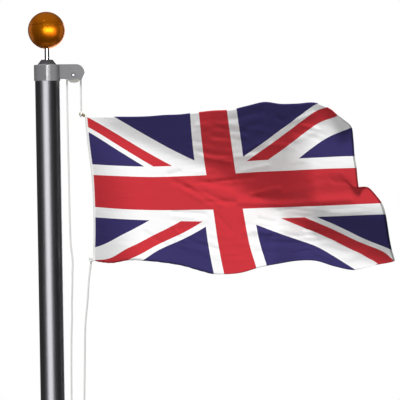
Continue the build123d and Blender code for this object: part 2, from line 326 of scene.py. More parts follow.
@dataclass(frozen=True)
class Grained(Finish):
    """A cast or moulded skin with a fine even grain."""

    grain_scale: float = 900.0
    grain_layers: float = 2.0
    grain_strength: float = 0.12
    grain_depth: float = 0.0004

    def pattern(self, nodes: Nodes) -> None:
        """Raise a fine even grain.

        Args:
            nodes: the material's nodes.
        """
        scale = (self.grain_scale, self.grain_scale, self.grain_scale)
        grain = nodes.noise(nodes.coordinates("Object", scale), self.grain_layers)
        nodes.relief(grain, self.grain_strength, self.grain_depth)


@dataclass(frozen=True)
class GrainedWithPaintedShade(Grained):
    """A grained skin with painted shade: a second, darker colour above a level stands in for shade on the
    top, and a dark ring for shade in a recess.
    """

    upper: Triple = (0.1, 0.1, 0.1)
    level: float = 0.0
    recess: Triple = (0.0, 0.0, 0.0)
    recess_r: float = 0.0
    recess_painted_shade: Triple = (0.05, 0.05, 0.05)

    def pattern(self, nodes: Nodes) -> None:
        """Raise the grain, paint shade above the level and paint shade in the recess.

        Args:
            nodes: the material's nodes.
        """
        super().pattern(nodes)
        place = nodes.parts(nodes.coordinates("Object"))
        # painted shade: above the level the colour turns darker, standing in for shade on the top
        over = nodes.worked("GREATER_THAN", place["Z"], self.level)
        colour = nodes.mixed(over, self.colour, self.upper)
        across = nodes.add("CombineXYZ")
        for axis in ("X", "Z"):
            nodes.feed(across.inputs[axis], place[axis])
        # painted shade: a darker ring round the recess centre stands in for the shade inside the recess
        away = nodes.measured("DISTANCE", across.outputs["Vector"], self.recess)
        within = nodes.worked("LESS_THAN", away, self.recess_r)
        nodes.feed(nodes.surface("Base Color"), nodes.mixed(within, colour, self.recess_painted_shade))


@dataclass(frozen=True)
class Braid(Finish):
    """Braided rope: crossing plaits, counted round the cord's own map and along the way that it hangs."""

    plaits: float = 4.0
    pitch: float = 0.007
    way: Triple = (0.55, 0.45, 1.0)
    plait_strength: float = 0.5
    plait_depth: float = 0.0004

    def pattern(self, nodes: Nodes) -> None:
        """Raise two crossing runs of plaits.

        Args:
            nodes: the material's nodes.
        """
        around = nodes.parts(nodes.coordinates("UV", (1.0, self.plaits, 1.0)))["Y"]
        pace = (self.way[0] / self.pitch, self.way[1] / self.pitch, self.way[2] / self.pitch)
        along = nodes.measured("DOT_PRODUCT", nodes.coordinates("Object"), pace)
        runs = []
        for operation in ("ADD", "SUBTRACT"):
            turn = nodes.worked("MULTIPLY", nodes.worked(operation, along, around), 2 * math.pi)
            runs.append(nodes.worked("SINE", turn))
        nodes.relief(nodes.worked("MAXIMUM", *runs), self.plait_strength, self.plait_depth)


@dataclass(frozen=True)
class Weave(Finish):
    """Woven cloth: threads that cross along the cloth's own flat map, in metres."""

    threads: float = 1500.0
    thread_strength: float = 0.15
    thread_depth: float = 0.0002

    def pattern(self, nodes: Nodes) -> None:
        """Raise crossing threads.

        Args:
            nodes: the material's nodes.
        """
        thread = nodes.parts(nodes.coordinates("UV", (self.threads, self.threads, 1.0)))
        waves = [nodes.worked("SINE", thread[axis]) for axis in ("X", "Y")]
        nodes.relief(nodes.worked("MULTIPLY", *waves), self.thread_strength, self.thread_depth)


@dataclass(frozen=True)
class Bunting(Weave):
    """Flag cloth: woven, finely creased along the fly, with painted shade down the hem at its far edge."""

    hem_from: float = 0.6552
    hem_painted_shade: float = 0.45
    crease_scale: Triple = (14.0, 60.0, 1.0)
    crease_layers: float = 2.0
    crease_strength: float = 0.2
    crease_depth: float = 0.004

    def pattern(self, nodes: Nodes) -> None:
        """Raise threads and fine creases, and paint shade along the hem.

        Args:
            nodes: the material's nodes.
        """
        super().pattern(nodes)
        creased = nodes.noise(nodes.coordinates("UV", self.crease_scale), self.crease_layers)
        nodes.relief(creased, self.crease_strength, self.crease_depth)
        along = nodes.parts(nodes.coordinates("UV"))["X"]
        # painted shade: the cloth past the hem's start is darkened, standing in for the shade along the
        # hem's folded edge
        hem = nodes.worked("GREATER_THAN", along, self.hem_from)
        red, green, blue = self.colour
        dark = (red * self.hem_painted_shade, green * self.hem_painted_shade, blue * self.hem_painted_shade)
        nodes.feed(nodes.surface("Base Color"), nodes.mixed(hem, self.colour, dark))


@dataclass(frozen=True)
class TurnedWood(Finish):
    """Turned hardwood with a fine straight grain."""

    dark: Triple = (0.05, 0.03, 0.01)
    streaks: Triple = (180.0, 900.0, 900.0)
    layers: float = 4.0

    def pattern(self, nodes: Nodes) -> None:
        """Streak the colour along the turning.

        Args:
            nodes: the material's nodes.
        """
        grain = nodes.noise(nodes.coordinates("Object", self.streaks), self.layers)
        nodes.feed(nodes.surface("Base Color"), nodes.mixed(grain, self.dark, self.colour))


SATIN_TUBE = DrawnMetal("satin_tube", (0.58, 0.57, 0.61), 0.36, metallic=1.0)
CAST_SHOE = Grained("cast_shoe", (0.44, 0.45, 0.47), 0.42, metallic=0.45, grain_scale=500.0)
GREY_MOULDING = GrainedWithPaintedShade(
    "grey_moulding",
    tone(129, 129, 132),
    0.26,
    coat=0.5,
    grain_strength=0.03,
    # painted shade: the cone above the collar's top is painted darker
    upper=tone(66, 65, 68),
    level=COLLAR_TOP,
    recess=SHEAVE_PIN,
    recess_r=0.0042,
    # painted shade: the recess round the sheave pin is painted darker
    recess_painted_shade=tone(70, 69, 71),
)
NYLON = Grained("nylon", tone(250, 247, 238), 0.45, grain_strength=0.03)
BRIGHT_STEEL = Finish("bright_steel", (0.72, 0.72, 0.74), 0.14, metallic=1.0)
GOLD = Finish("gold", (0.95, 0.25, 0.005), 0.32, metallic=0.85)
CLEAT_METAL = Grained("cleat_metal", (0.56, 0.56, 0.58), 0.34, metallic=0.5, grain_scale=600.0)
ROPE = Braid("rope", tone(245, 245, 242), 0.75, sheen=0.2)
CANVAS = Weave("canvas", tone(240, 240, 238), 0.85, sheen=0.2)
WOOD = TurnedWood("toggle_wood", tone(150, 126, 74), 0.5, dark=tone(92, 70, 34))
BUNTING = {
    Panel.RED: Bunting("red_bunting", tone(196, 50, 58), 0.72, shine=0.15),
    Panel.WHITE: Bunting("white_bunting", tone(242, 242, 242), 0.72, sheen=0.05, shine=0.25),
    Panel.BLUE: Bunting("blue_bunting", tone(56, 50, 100), 0.72, shine=0.1),
}
PALE_FLOOR = Finish("pale_floor", (0.80, 0.80, 0.80), 0.9)
DRAPES = {
    Drape.FRONT: Finish("dark_curtain", (0.0, 0.0, 0.0), 1.0, glow=0.015),
    Drape.REAR: Finish("rear_curtain", (0.0, 0.0, 0.0), 1.0, glow=0.04),
    Drape.CEILING: Finish("pale_ceiling", (0.0, 0.0, 0.0), 1.0, glow=0.12),
}


def placed(name: str, data: bpy.types.Mesh, *finishes: Finish, smooth: bool = True) -> bpy.types.Object:
    """Show a mesh as an object.

    Args:
        name: the piece's name.
        data: its mesh, in place and without finishes.
        finishes: its finishes, in the order that its faces number them.
        smooth: whether its faces shade smoothly.

    Returns:
        The new object.
    """
    for finish in finishes:
        data.materials.append(finish.material())
    data.polygons.foreach_set("use_smooth", [smooth] * len(data.polygons))
    made = bpy.data.objects.new(name, data)
    bpy.context.scene.collection.objects.link(made)
    return made


def shown(name: str, mesh: bmesh.types.BMesh, *finishes: Finish, smooth: bool = True) -> bpy.types.Object:
    """Show a bmesh as an object, and free it.

    Args:
        name: the piece's name.
        mesh: its geometry, in place.
        finishes: its finishes, in the order that its faces number them.
        smooth: whether its faces shade smoothly.

    Returns:
        The new object.
    """
    data = bpy.data.meshes.new(name)
    mesh.to_mesh(data)
    mesh.free()
    return placed(name, data, *finishes, smooth=smooth)


def cord(name: str, route: list[Triple], radius: float, finish: Finish) -> bpy.types.Object:
    """Make a round cord along a route.

    Args:
        name: the piece's name.
        route: the places that its middle line follows.
        radius: its radius.
        finish: its finish.

    Returns:
        The cord as a mesh object.
    """
    curve = bpy.data.curves.new(name + "_line", "CURVE")
    curve.dimensions = "3D"
    curve.bevel_depth = radius
    curve.bevel_resolution = 3
    curve.use_fill_caps = True
    curve.resolution_u = 6
    spline = curve.splines.new("NURBS")
    spline.points.add(len(route) - 1)
    for point, place in zip(spline.points, route):
        point.co = (*place, 1.0)
    spline.order_u = 3
    spline.use_endpoint_u = True
    holder = bpy.data.objects.new(name + "_line", curve)
    bpy.context.scene.collection.objects.link(holder)
    bpy.context.view_layer.update()
    graph = bpy.context.evaluated_depsgraph_get()
    data = bpy.data.meshes.new_from_object(holder.evaluated_get(graph))
    data.name = name
    bpy.data.objects.remove(holder)
    bpy.data.curves.remove(curve)
    data.materials.clear()
    return placed(name, data, finish)


def dress(finish: Finish, *names: str) -> None:
    """Give CAD nodes a finish.

    Args:
        finish: the finish.
        names: the nodes.
    """
    for name in names:
        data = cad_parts[name].data
        data.materials.clear()
        data.materials.append(finish.material())
        LOG.info("dressed %s as %s", name, finish.name)


@dataclass
class Mast:
    """The shoe, the three tubes and the small screws that hold them."""

    socket_r: float = 0.0315
    screw_r: float = 0.004
    screw_sides: int = 24
    screw_rim_share: float = 0.4
    screw_proud: float = 0.0012
    screw_sink: float = 0.002
    screw_skirt: float = 0.003
    screw_height: float = 0.128
    screw_turns: Triple = (45.0, 165.0, 285.0)

    def build(self) -> None:
        """Dress the tubes and the shoe, and fit the shoe's set screws."""
        dress(SATIN_TUBE, "lower_section", "middle_section", "upper_section")
        dress(CAST_SHOE, "base_shoe")
        for index, turn in enumerate(self.screw_turns):
            self.set_screw(index, math.radians(turn))

    def set_screw(self, index: int, turn: float) -> None:
        """Fit one socket screw into the shoe's socket.

        Args:
            index: its number.
            turn: its place round the socket, in radians.
        """
        mesh = bmesh.new()
        bmesh.ops.create_circle(mesh, cap_ends=True, segments=self.screw_sides, radius=self.screw_r)
        bmesh.ops.inset_region(mesh, faces=mesh.faces[:], thickness=self.screw_r * self.screw_rim_share)
        centre = min(mesh.faces, key=lambda f: f.calc_center_median().length)
        sunk = bmesh.ops.extrude_discrete_faces(mesh, faces=[centre])["faces"]
        bmesh.ops.translate(mesh, verts=sunk[0].verts, vec=(0.0, 0.0, -self.screw_sink))
        rim = [e for e in mesh.edges if e.is_boundary]
        skirt = bmesh.ops.extrude_edge_only(mesh, edges=rim)["geom"]
        corners = [v for v in skirt if isinstance(v, bmesh.types.BMVert)]
        bmesh.ops.translate(mesh, verts=corners, vec=(0.0, 0.0, -self.screw_skirt))
        bmesh.ops.recalc_face_normals(mesh, faces=mesh.faces)
        place = (
            Matrix.Rotation(turn, 4, "Z")
            @ Matrix.Translation((self.socket_r + self.screw_proud, 0.0, self.screw_height))
            @ Matrix.Rotation(math.pi / 2, 4, "Y")
        )
        bmesh.ops.transform(mesh, matrix=place, verts=mesh.verts)
        piece = shown(f"shoe_screw_{index}", mesh, BRIGHT_STEEL, smooth=False)
        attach(piece, Body.POLE.value)
        LOG.info("fitted %s", piece.name)


@dataclass
class Finial:
    """The gold ball on its stem."""

    ball_r: float = 0.0381
    centre_z: float = 3.0712
    slices: int = 96
    rings: int = 64
    seam_rise: float = 0.0096
    seam_half: float = 0.0012
    seam_depth: float = 0.0022

    def build(self) -> None:
        """Make the ball with its fine seam, and dress the stem."""
        mesh = bmesh.new()
        bmesh.ops.create_uvsphere(mesh, u_segments=self.slices, v_segments=self.rings, radius=self.ball_r)
        for level in (-self.seam_half, 0.0, self.seam_half):
            bmesh.ops.bisect_plane(
                mesh,
                geom=mesh.verts[:] + mesh.edges[:] + mesh.faces[:],
                plane_co=(0.0, 0.0, self.seam_rise + level),
                plane_no=(0.0, 0.0, 1.0),
            )
        near = self.seam_half / 4
        ring = [v for v in mesh.verts if abs(v.co.z - self.seam_rise) < near]
        shrink = 1 - self.seam_depth / self.ball_r
        bmesh.ops.scale(mesh, verts=ring, vec=(shrink, shrink, 1.0))
        for edge in mesh.edges:
            off = [abs(abs(v.co.z - self.seam_rise) - self.seam_half) for v in edge.verts]
            edge.smooth = max(off) > near
        bmesh.ops.translate(mesh, verts=mesh.verts, vec=(0.0, 0.0, self.centre_z))
        ball = shown("ball", mesh, GOLD)
        ball.visible_glossy = False
        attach(ball, Body.POLE.value)
        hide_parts("ball_lower", "ball_upper")
        dress(BRIGHT_STEEL, "finial_stem")
        LOG.info("made %s", ball.name)


@dataclass
class Truck:
    """The moulded truck with its sheave and pin."""

    def build(self) -> None:
        """Dress the truck, the sheave and its pin."""
        dress(GREY_MOULDING, "truck")
        dress(NYLON, "sheave")
        dress(BRIGHT_STEEL, "sheave_pin")


@dataclass
class Cleat:
    """The horn cleat and its screws."""

    screw_x: float = 0.0304
    screw_r: float = 0.0042
    screw_slices: int = 24
    screw_rings: int = 12
    screw_flat_share: float = 0.45
    screw_gap: float = 0.024

    def build(self) -> None:
        """Dress the cleat and fit its two screws."""
        dress(CLEAT_METAL, "cleat")
        for index, side in enumerate((-1, 1)):
            mesh = bmesh.new()
            bmesh.ops.create_uvsphere(
                mesh,
                u_segments=self.screw_slices,
                v_segments=self.screw_rings,
                radius=self.screw_r,
            )
            bmesh.ops.scale(mesh, verts=mesh.verts, vec=(self.screw_flat_share, 1.0, 1.0))
            place = (self.screw_x, 0.0, CLEAT_Z + side * self.screw_gap)
            bmesh.ops.translate(mesh, verts=mesh.verts, vec=place)
            piece = shown(f"cleat_screw_{index}", mesh, BRIGHT_STEEL)
            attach(piece, Body.POLE.value)
            LOG.info("fitted %s", piece.name)


@dataclass
class Halyard:
    """The braided halyard, over the sheave and down to the cleat."""

    rope_r: float = 0.0018
    rise_x: float = 0.0690
    pitch_r: float = 0.0142
    wheel_step: int = 15
    strand_places: int = 24
    eye: Triple = (0.0690, 0.0, 2.9034)
    knot: Triple = (0.0855, 0.0, 2.5911)
    horn_inner: float = 0.0337
    horn_outer: float = 0.0384
    horn_cross: float = 0.0599
    horn_over: float = 0.0639
    horn_side: float = 0.0088
    horn_turn: float = 0.0204
    horn_slant: float = 0.0084
    tail_side: float = 0.01294
    lead: Triple = (0.0370, -0.003, 1.300)
    climb: tuple[Triple, ...] = ((0.0390, 0.0129, 1.210), (0.0440, 0.0060, 1.330))
    fall_places: tuple[Pair, ...] = (
        (0.0406, 2.960),
        (0.0402, 2.908),
        (0.0412, 2.762),
        (0.0421, 2.637),
        (0.0440, 2.616),
        (0.0470, 2.591),
        (0.0452, 2.566),
        (0.0452, 2.541),
        (0.0428, 2.499),
        (0.0435, 2.478),
        (0.0412, 2.434),
        (0.0393, 2.303),
        (0.0385, 1.900),
        (0.0385, 1.500),
    )
    rise_places: tuple[Pair, ...] = (
        (0.0842, 2.586),
        (0.0830, 2.576),
        (0.0792, 2.551),
        (0.0768, 2.510),
        (0.0725, 2.477),
        (0.0700, 2.445),
        (0.0690, 2.403),
        (0.0680, 2.360),
        (0.0664, 2.303),
        (0.0610, 1.900),
        (0.0530, 1.500),
    )

    def build(self) -> None:
        """Make the fall with its turns on the cleat, and the strands over and under the flag."""
        fall = cord("halyard_line", self.fall_route(), self.rope_r, ROPE)
        fall.visible_glossy = False
        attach(fall, Body.POLE.value)
        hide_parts("halyard_fall")
        top = (self.rise_x, 0.0, SHEAVE_PIN[2])
        strand = [top, *self.between(top, self.eye, self.strand_places), self.eye]
        upper = cord("hoisting_strand", strand, self.rope_r, ROPE)
        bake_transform(upper)
        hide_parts("halyard_upper")
        foot = (self.horn_outer, self.tail_side, CLEAT_Z + self.horn_turn / 2)
        lower = cord("lowering_strand", self.rise_route(foot), self.rope_r, ROPE)
        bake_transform(lower)
        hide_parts("halyard_lower")
        for piece in (fall, upper, lower):
            LOG.info("laid %s", piece.name)
        dress(ROPE, "halyard_eye", "head_rope", "tail_bend")

    @staticmethod
    def between(first: Triple, last: Triple, count: int) -> list[Triple]:
        """Return evenly spaced places between two ends.

        Args:
            first: where they start.
            last: where they stop.
            count: how many places.

        Returns:
            The places, without the ends.
        """
        steps = [i / (count + 1) for i in range(1, count + 1)]
        return [tuple(Vector(first).lerp(Vector(last), s)) for s in steps]

    def fall_route(self) -> list[Triple]:
        """Return the line from the sheave down to the cleat and round its horns."""
        turns = [math.radians(degrees) for degrees in range(0, 180 + self.wheel_step, self.wheel_step)]
        pin_x, _, pin_z = SHEAVE_PIN
        pitch = self.pitch_r
        route = [(pin_x + pitch * math.cos(t), 0.0, pin_z + pitch * math.sin(t)) for t in turns]
        route += [(x, 0.0, z) for x, z in self.fall_places]
        inner, outer, side = self.horn_inner, self.horn_outer, self.horn_side
        turn, slant = self.horn_turn, self.horn_slant
        route += [
            self.lead,
            (inner, -side, CLEAT_Z + turn * 2),
            (inner, -side, CLEAT_Z - turn),
            (inner, side, CLEAT_Z - turn),
            (self.horn_cross, side, CLEAT_Z - slant),
            (self.horn_cross, -side, CLEAT_Z + slant),
            (outer, -side, CLEAT_Z + turn),
            (outer, side, CLEAT_Z + turn),
            (self.horn_over, side, CLEAT_Z + slant),
            (self.horn_over, -side, CLEAT_Z - slant),
            (outer, -side, CLEAT_Z - turn),
            (outer, self.tail_side, CLEAT_Z - turn),
            (outer, self.tail_side, CLEAT_Z),
            (outer, self.tail_side, CLEAT_Z + turn / 2),
        ]
        return route

    def rise_route(self, foot: Triple) -> list[Triple]:
        """Return the line from the cleat up to the flag's foot.

        Args:
            foot: where it leaves the cleat.

        Returns:
            The line's places from the foot up.
        """
        return [foot, *self.climb, *((x, 0.0, z) for x, z in reversed(self.rise_places)), self.knot]


def ease(share: np.ndarray) -> np.ndarray:
    """Return a smooth step.

    Args:
        share: from 0 to 1, and held at its ends beyond.

    Returns:
        The eased share.
    """
    held = np.clip(share, 0.0, 1.0)
    return held * held * (3 - 2 * held)


def basis(count: int, share: np.ndarray) -> np.ndarray:
    """Return how much each of some evenly spaced knots counts along a smooth line through them.

    Args:
        count: how many knots.
        share: where the line is read, from 0 to 1.

    Returns:
        Weights, a row for each share and a column for each knot.
    """
    last = count - 1
    place = np.clip(share * last, 0.0, last - 1e-9)
    index = place.astype(int)
    part = place - index
    square, cube = part**2, part**3
    shape = (
        2 * square - part - cube,
        2 - 5 * square + 3 * cube,
        part + 4 * square - 3 * cube,
        cube - square,
    )
    wide = np.zeros((len(share), count + 2))
    for step, weight in enumerate(shape):
        wide[np.arange(len(share)), index + step] = weight / 2
    held = wide[:, 1:-1]
    held[:, 0] += 2 * wide[:, 0]
    held[:, 1] -= wide[:, 0]
    held[:, -1] += 2 * wide[:, -1]
    held[:, -2] -= wide[:, -1]
    return held


def along(knots: tuple, share: np.ndarray) -> np.ndarray:
    """Read a smooth line through evenly spaced knots.

    Args:
        knots: values at the knots.
        share: where to read them, from 0 to 1.

    Returns:
        The values there.
    """
    return basis(len(knots), share) @ np.array(knots)


@dataclass(frozen=True)
class Crease:
    """One soft crease in the cloth, as a ridge along a line of the flat cut."""

    start: Pair
    end: Pair
    height: float
    width: float

    def raised(self, across: np.ndarray, down: np.ndarray, fly: float, hoist: float) -> np.ndarray:
        """Return how far the crease raises places of the cloth.

        Args:
            across: shares of the fly.
            down: shares of the hoist from the head.
            fly: the cut's length.
            hoist: the cut's height.

        Returns:
            Heights in metres.
        """
        first = np.array(self.start) * (fly, hoist)
        run = np.array(self.end) * (fly, hoist) - first
        x, z = across * fly - first[0], down * hoist - first[1]
        share = np.clip((x * run[0] + z * run[1]) / (run @ run), 0.0, 1.0)
        off = (x - share * run[0]) ** 2 + (z - share * run[1]) ** 2
        return self.height * np.exp(-off / self.width**2)


@dataclass(frozen=True)
class Crumple:
    """Many faint creases, strewn over the cloth and lying mostly along the fly."""

    count: int = 110
    seed: int = 7
    low: Pair = (0.30, 0.06)
    high: Pair = (0.90, 0.94)
    length: Pair = (0.04, 0.13)
    slant: Pair = (-0.5, 0.7)
    height: float = 0.0011
    width: Pair = (0.003, 0.006)

    def strewn(self) -> list[Crease]:
        """Strew the creases.

        Returns:
            The creases.
        """
        chance = np.random.default_rng(self.seed)
        creases = []
        for _ in range(self.count):
            u, v = chance.uniform(self.low, self.high)
            length, slant = chance.uniform(*zip(self.length, self.slant))
            height = chance.normal(0.0, self.height)
            width = chance.uniform(*self.width)
            creases.append(Crease((u, v), (u + length, v + length * slant), height, width))
        return creases


@dataclass(frozen=True)
class Lip:
    """The lip that stands out along the fly edge, with a slanting ridge."""

    height: float = 0.086
    ridge_u: float = 0.7
    ridge_v: float = 0.57
    ridge_slant: float = 0.3
    start_u: float = 0.78
    start_slant: float = 0.2
    reach: float = 0.13
    top_v: float = 0.1
    rise_power: float = 1.3
    fall: float = 0.25
    fall_reach: float = 0.22
    soft_half: float = 0.05
    soft_reads: int = 5

    def raised(self, u: np.ndarray, v: np.ndarray) -> np.ndarray:
        """Return how far the lip raises places of the cloth.

        Args:
            u: shares of the fly.
            v: shares of the hoist from the head.

        Returns:
            Heights in metres.
        """
        ridge = self.ridge_v + self.ridge_slant * (u - self.ridge_u)
        steps = np.linspace(-self.soft_half, self.soft_half, self.soft_reads)
        crest = sum(self.crest(v + step, ridge) for step in steps) / self.soft_reads
        return self.height * ease((u - self.start_u + self.start_slant * v) / self.reach) * crest

    def crest(self, v: np.ndarray, ridge: np.ndarray) -> np.ndarray:
        """Return how far the lip stands out, as a share of its height.

        Args:
            v: shares of the hoist from the head.
            ridge: where the lip is highest.

        Returns:
            Shares that rise to the ridge and fall again below it.
        """
        rise = np.clip((v - self.top_v) / (ridge - self.top_v), 0.0, 1.0) ** self.rise_power
        return rise - self.fall * np.clip((v - ridge) / self.fall_reach, 0.0, 1.0)


@dataclass(frozen=True)
class Pattern:
    """The flag's pattern of sewn panels, in sixtieths of the fly and thirtieths of the hoist."""

    fly: float = 60.0
    hoist: float = 30.0
    cross_half: float = 3.0
    cross_border: float = 5.0
    saltire_half: float = 3.0
    saltire_red: float = 2.0

    def panel(self, a: float, b: float) -> Panel:
        """Return which cloth covers a place.

        Args:
            a: distance from the hoist edge.
            b: distance from the head.

        Returns:
            The cloth.
        """
        beside, below = a - self.fly / 2, b - self.hoist / 2
        near = min(abs(beside), abs(below))
        if near < self.cross_border:
            return Panel.RED if near < self.cross_half else Panel.WHITE
        slope = self.hoist / self.fly
        falling = (beside < 0) == (below < 0)
        line = a * slope if falling else self.hoist - a * slope
        off = (b - line) / math.hypot(1.0, slope)
        if beside > 0:
            off = -off
        if 0 < off < self.saltire_red:
            return Panel.RED
        return Panel.WHITE if abs(off) < self.saltire_half else Panel.BLUE

    def cuts(self) -> list[tuple[Pair, Pair]]:
        """Return the lines between the panels, each as a place and the way across it."""
        arms = (-self.cross_border, -self.cross_half, self.cross_half, self.cross_border)
        lines = [((self.fly / 2 + off, 0.0), (1.0, 0.0)) for off in arms]
        lines += [((0.0, self.hoist / 2 + off), (0.0, 1.0)) for off in arms]
        slope = self.hoist / self.fly
        root = math.hypot(1.0, slope)
        for off in (-self.saltire_half, -self.saltire_red, 0.0, self.saltire_red, self.saltire_half):
            lines.append(((0.0, off * root), (-slope, 1.0)))
            lines.append(((0.0, self.hoist + off * root), (slope, 1.0)))
        return lines


@dataclass
class Flag:
    """The flag: its cut, the way it flies, its sewn panels with painted shade along the hem, and its roped
    heading.
    """

    fly: float = 0.66
    hoist: float = 0.33
    head_x: float = 0.0792
    head_z: float = 2.8934
    sight: Triple = (0.3132, -2.4, 2.8714)
    columns: int = 220
    rows: int = 110
    thickness: float = 0.0009
    pattern: Pattern = Pattern()
    cut_near: float = 0.002
    cut_least: float = 0.01
    lean: float = 0.215
    valley: float = 0.100
    valley_round: float = 0.04
    upper_reach: float = 0.14
    lower_reach: float = 0.2
    ripple: float = 0.008
    ripple_u: float = 0.45
    ripple_length: float = 0.43
    ripple_reach: float = 0.3
    lip: Lip = Lip()
    crumple: Crumple = Crumple()
    edge_reach: float = 0.22
    edge_reads: int = 800
    fly_from: float = 0.84
    notch_v: float = 0.49
    notch_half: float = 0.09
    notch_later: float = 0.075
    curl_from: float = 0.75
    turn_r: float = 0.0025
    turn_most: float = 2.4
    heading_r: float = 0.0029
    heading_places: int = 21
    x_shares: tuple[tuple[float, ...], ...] = (
        (0.000, 0.098, 0.196, 0.294, 0.398, 0.510, 0.612, 0.718, 0.788),
        (0.007, 0.103, 0.198, 0.298, 0.409, 0.524, 0.632, 0.736, 0.840),
        (0.018, 0.110, 0.206, 0.309, 0.423, 0.539, 0.653, 0.754, 0.850),
        (0.022, 0.118, 0.216, 0.329, 0.443, 0.563, 0.689, 0.814, 0.930),
        (0.022, 0.121, 0.226, 0.341, 0.461, 0.583, 0.704, 0.825, 0.954),
        (0.018, 0.128, 0.240, 0.357, 0.482, 0.605, 0.721, 0.837, 0.913),
    )
    z_shares: tuple[tuple[float, ...], ...] = (
        (0.000, 0.003, 0.002, -0.008, -0.030, -0.060, -0.068, -0.074, 0.004),
        (0.171, 0.188, 0.191, 0.184, 0.169, 0.147, 0.138, 0.133, 0.155),
        (0.368, 0.378, 0.385, 0.381, 0.372, 0.358, 0.350, 0.342, 0.336),
        (0.571, 0.587, 0.595, 0.595, 0.593, 0.586, 0.579, 0.571, 0.563),
        (0.760, 0.768, 0.782, 0.808, 0.818, 0.786, 0.772, 0.774, 0.782),
        (0.909, 0.908, 0.928, 0.977, 0.998, 0.941, 0.926, 0.986, 0.951),
    )
    head_line: tuple[tuple[float, float], ...] = (
        (0.000, 0.000), (0.049, 0.002), (0.098, 0.003), (0.147, 0.004), (0.196, 0.002), (0.245, -0.005),
        (0.294, -0.008), (0.344, -0.019), (0.398, -0.030), (0.454, -0.035), (0.510, -0.060), (0.561, -0.081),
        (0.612, -0.068), (0.663, -0.069), (0.718, -0.074), (0.765, -0.036), (0.788, 0.004),
    )
    foot_line: tuple[tuple[float, float], ...] = (
        (0.018, 0.909), (0.073, 0.921), (0.128, 0.904), (0.184, 0.909), (0.240, 0.922), (0.300, 0.943),
        (0.357, 0.977), (0.418, 1.006), (0.482, 0.998), (0.545, 0.963), (0.605, 0.941), (0.663, 0.924),
        (0.721, 0.926), (0.778, 0.961), (0.837, 0.986), (0.879, 0.969), (0.913, 0.951),
    )
    fly_line: tuple[tuple[float, float, float, float], ...] = (
        (0.000, 0.788, 0.004, 0.000), (0.050, 0.811, 0.038, 0.000), (0.110, 0.834, 0.082, 0.000),
        (0.200, 0.840, 0.157, 0.000), (0.333, 0.844, 0.264, 0.000), (0.400, 0.850, 0.338, -0.001),
        (0.440, 0.853, 0.402, -0.001), (0.470, 0.856, 0.452, -0.002), (0.487, 0.858, 0.470, -0.001),
        (0.508, 0.868, 0.459, 0.001), (0.540, 0.889, 0.465, 0.002), (0.570, 0.909, 0.506, 0.001),
        (0.600, 0.930, 0.563, 0.001), (0.667, 0.942, 0.634, 0.000), (0.750, 0.950, 0.728, 0.000),
        (0.800, 0.954, 0.782, 0.000), (0.888, 0.962, 0.861, 0.000), (0.915, 0.970, 0.915, 0.000),
        (0.930, 0.969, 0.932, 0.000), (0.960, 0.945, 0.943, 0.000), (1.000, 0.913, 0.951, 0.000),
    )
    turn_line: tuple[float, ...] = (
        1.0, 0.965, 0.945, 0.932, 0.945, 0.96, 0.98, 1.0, 1.0, 1.0, 1.0, 1.0, 1.0, 1.0, 1.0, 1.0, 1.0,
    )
    valley_line: tuple[float, ...] = (0.03, 0.125, 0.205, 0.30, 0.40, 0.57, 0.74, 0.86, 0.97)
    creases: tuple[Crease, ...] = (
        Crease((0.330, 0.430), (0.498, 0.557), -0.0022, 0.006),
        Crease((0.378, 0.445), (0.480, 0.575), 0.0018, 0.005),
        Crease((0.350, 0.470), (0.440, 0.570), 0.0014, 0.005),
        Crease((0.430, 0.555), (0.530, 0.560), -0.0020, 0.004),
        Crease((0.460, 0.630), (0.500, 0.720), -0.0014, 0.005),
        Crease((0.455, 0.290), (0.535, 0.330), 0.0018, 0.004),
        Crease((0.440, 0.250), (0.545, 0.300), -0.0016, 0.005),
        Crease((0.540, 0.565), (0.690, 0.585), 0.0024, 0.005),
        Crease((0.600, 0.535), (0.760, 0.560), -0.0016, 0.006),
        Crease((0.700, 0.585), (0.900, 0.570), 0.0022, 0.006),
        Crease((0.690, 0.520), (0.860, 0.480), 0.0010, 0.007),
        Crease((0.790, 0.450), (0.930, 0.430), 0.0012, 0.007),
        Crease((0.820, 0.530), (0.930, 0.520), -0.0006, 0.006),
        Crease((0.590, 0.270), (0.680, 0.210), 0.0014, 0.004),
        Crease((0.640, 0.240), (0.735, 0.250), 0.0014, 0.005),
        Crease((0.780, 0.220), (0.860, 0.180), 0.0016, 0.006),
        Crease((0.440, 0.080), (0.570, 0.100), 0.0012, 0.006),
        Crease((0.570, 0.060), (0.680, 0.050), -0.0012, 0.005),
        Crease((0.300, 0.690), (0.340, 0.790), 0.0012, 0.005),
        Crease((0.200, 0.750), (0.270, 0.840), -0.0012, 0.006),
        Crease((0.780, 0.840), (0.930, 0.800), 0.0016, 0.009),
        Crease((0.860, 0.930), (0.960, 0.870), 0.0016, 0.008),
    )

    def build(self) -> None:
        """Fly the cloth, sew the panels and the heading, and dress the toggle."""
        cloth = self.sewn()
        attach(cloth, Body.FLAG.value)
        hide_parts("flag_cloth")
        heading = self.heading()
        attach(heading, Body.FLAG.value)
        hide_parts("flag_heading")
        dress(WOOD, "toggle")
        LOG.info("sewed %s and %s", cloth.name, heading.name)

    def depth(self, u: np.ndarray, v: np.ndarray) -> np.ndarray:
        """Return how far places stand off the plane of the hoist.

        Args:
            u: shares of the fly.
            v: shares of the hoist from the head.

        Returns:
            Distances along +Y.
        """
        off = v - along(self.valley_line, u)
        valley = self.valley * (np.sqrt(off**2 + self.valley_round**2) - self.valley_round)
        leaving = np.sin(np.pi / 2 * np.clip(u / self.lower_reach, 0.0, 1.0))
        swell = np.where(off < 0, ease(u / self.upper_reach), leaving)
        ripple = self.ripple * v * np.cos(2 * np.pi * (u - self.ripple_u) / self.ripple_length)
        creases = (*self.creases, *self.crumple.strewn())
        creased = sum(c.raised(u, v, self.fly, self.hoist) for c in creases)
        folded = swell * valley + ease(u / self.ripple_reach) * ripple
        return -self.lean * u - folded - self.lip.raised(u, v) - creased

